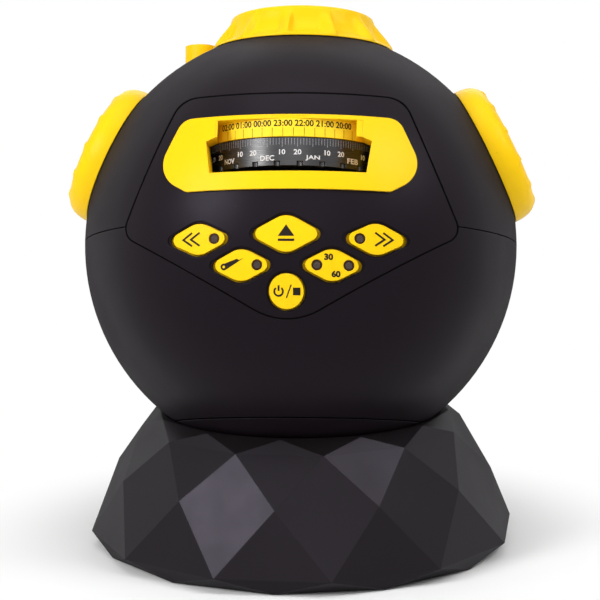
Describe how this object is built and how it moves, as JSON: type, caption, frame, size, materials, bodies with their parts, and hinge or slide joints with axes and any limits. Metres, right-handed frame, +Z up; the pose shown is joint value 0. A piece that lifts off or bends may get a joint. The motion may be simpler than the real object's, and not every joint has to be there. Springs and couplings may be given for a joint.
{
  "type": "planetarium projector",
  "caption": "Ball-shaped planetarium projector that lies in a faceted foot, with a disc drawer, date dial, keys, focus ring and round side bezels.",
  "frame": {"origin": "centre of the foot's underside, on the surface that the foot stands on", "axes": "+Z up, front with the keys towards -Y, +X to the right of someone who looks at the front"},
  "size_m": [0.1784, 0.1656, 0.207],
  "materials": {
    "black_shell": "fine matte texture",
    "foot_black": "satin facets",
    "yellow_plastic": "satin",
    "dial_black": "semi-gloss, white printing",
    "smoky_window": "smoky",
    "inner_plastic": "moulded",
    "clear_lens": "polished",
    "star_film": "film",
    "rubber": "matte",
    "steel": "plated",
    "aluminium": "extruded",
    "circuit_board": "solder mask",
    "cell_wrap": "film wrap",
    "lamp_white": "clear dome",
    "speaker_cone": "paper"
  },
  "bodies": {
    "foot": {"base_shell": "foot_black", "base_plate": "inner_plastic", "rubber_feet": "rubber", "base_screws": "steel"},
    "seat": {"seat_ring": "inner_plastic"},
    "head": {"upper_shell": "black_shell", "lower_shell": "black_shell", "battery_cover": "black_shell", "battery_holder": "inner_plastic", "battery_cells": "cell_wrap", "battery_contacts": "steel", "chassis": "inner_plastic", "shell_screws": "steel", "lamp_housing": "inner_plastic", "lamp_board": "circuit_board", "white_lamp": "lamp_white", "condenser_lens": "clear_lens", "heat_sink": "aluminium", "focus_sleeve": "inner_plastic", "right_bezel": "yellow_plastic", "left_bezel": "yellow_plastic", "right_grille": "black_shell", "left_grille": "black_shell", "right_speaker": "speaker_cone", "left_speaker": "speaker_cone", "meteor_tube": "yellow_plastic", "meteor_lens": "clear_lens", "meteor_lamp": "lamp_white", "main_board": "circuit_board", "dc_inlet": "inner_plastic", "audio_inlet": "inner_plastic", "volume_pot": "inner_plastic", "drawer_latch": "inner_plastic"},
    "drawer": {"front_panel": "black_shell", "scale_bezel": "yellow_plastic", "disc_tray": "inner_plastic", "key_board": "circuit_board", "key_switches": "inner_plastic", "key_lamps": "lamp_white", "drive_motor": "steel", "panel_screws": "steel"},
    "dial": {"date_dial": "dial_black"},
    "carrier": {"disc_carrier": "inner_plastic", "star_disc": "star_film"},
    "pinion": {"motor_pinion": "inner_plastic"},
    "focus_ring": {"focus_ring": "yellow_plastic"},
    "lens_barrel": {"lens_barrel": "inner_plastic", "projection_lens": "clear_lens"},
    "volume_wheel": {"volume_wheel": "inner_plastic"},
    "rewind": {"rewind_key": "yellow_plastic", "rewind_key_window": "smoky_window"},
    "eject": {"eject_key": "yellow_plastic"},
    "forward": {"forward_key": "yellow_plastic", "forward_key_window": "smoky_window"},
    "meteor": {"meteor_key": "yellow_plastic", "meteor_key_window": "smoky_window"},
    "timer": {"timer_key": "yellow_plastic", "timer_key_window": "smoky_window"},
    "power": {"power_key": "yellow_plastic"}
  },
  "joints": [
    {"name": "seat_turn", "type": "hinge", "parent": "foot", "child": "seat", "pos_m": [0, 0, 0.115], "axis": [0, 0, 1], "continuous": true},
    {"name": "head_tilt", "type": "hinge", "parent": "seat", "child": "head", "pos_m": [0, 0, 0.115], "axis": [1, 0, 0], "range_deg": [-20, 20]},
    {"name": "drawer_slide", "type": "slide", "parent": "head", "child": "drawer", "axis": [0, -0.9659, 0.2588], "range_m": [0, 0.08]},
    {"name": "dial_turn", "type": "hinge", "parent": "drawer", "child": "dial", "pos_m": [0, -0.03732, 0.14571], "axis": [0, 0.2588, 0.9659], "continuous": true},
    {"name": "carrier_turn", "type": "hinge", "parent": "drawer", "child": "carrier", "pos_m": [0, 0.00414, 0.13045], "axis": [0, 0.2588, 0.9659], "continuous": true},
    {"name": "pinion_turn", "type": "hinge", "parent": "drawer", "child": "pinion", "pos_m": [0.0275, 0.00414, 0.13045], "axis": [0, 0.2588, 0.9659], "continuous": true},
    {"name": "focus_turn", "type": "hinge", "parent": "head", "child": "focus_ring", "pos_m": [0, 0.02071, 0.19227], "axis": [0, 0.2588, 0.9659], "range_deg": [-60, 60]},
    {"name": "lens_slide", "type": "slide", "parent": "head", "child": "lens_barrel", "axis": [0, 0.2588, 0.9659], "range_m": [-0.0015, 0.0015]},
    {"name": "volume_turn", "type": "hinge", "parent": "head", "child": "volume_wheel", "pos_m": [0.021, 0.06798, 0.08643], "axis": [0, 0.2588, 0.9659], "range_deg": [-135, 135]},
    {"name": "rewind_press", "type": "slide", "parent": "drawer", "child": "rewind", "axis": [0, 0.9659, -0.2588], "range_m": [0, 0.0008], "stiffness_N_per_m": 300, "springref_m": -0.001},
    {"name": "eject_press", "type": "slide", "parent": "drawer", "child": "eject", "axis": [0, 0.9659, -0.2588], "range_m": [0, 0.0008], "stiffness_N_per_m": 300, "springref_m": -0.001},
    {"name": "forward_press", "type": "slide", "parent": "drawer", "child": "forward", "axis": [0, 0.9659, -0.2588], "range_m": [0, 0.0008], "stiffness_N_per_m": 300, "springref_m": -0.001},
    {"name": "meteor_press", "type": "slide", "parent": "drawer", "child": "meteor", "axis": [0, 0.9659, -0.2588], "range_m": [0, 0.0008], "stiffness_N_per_m": 300, "springref_m": -0.001},
    {"name": "timer_press", "type": "slide", "parent": "drawer", "child": "timer", "axis": [0, 0.9659, -0.2588], "range_m": [0, 0.0008], "stiffness_N_per_m": 300, "springref_m": -0.001},
    {"name": "power_press", "type": "slide", "parent": "drawer", "child": "power", "axis": [0, 0.9659, -0.2588], "range_m": [0, 0.0008], "stiffness_N_per_m": 300, "springref_m": -0.001}
  ],
  "couplings": [
    {"joint": "carrier_turn", "follows": "dial_turn", "ratio": -1},
    {"joint": "pinion_turn", "follows": "dial_turn", "ratio": 4},
    {"joint": "focus_turn", "follows": "lens_slide", "rad_per_m": 698.13}
  ]
}
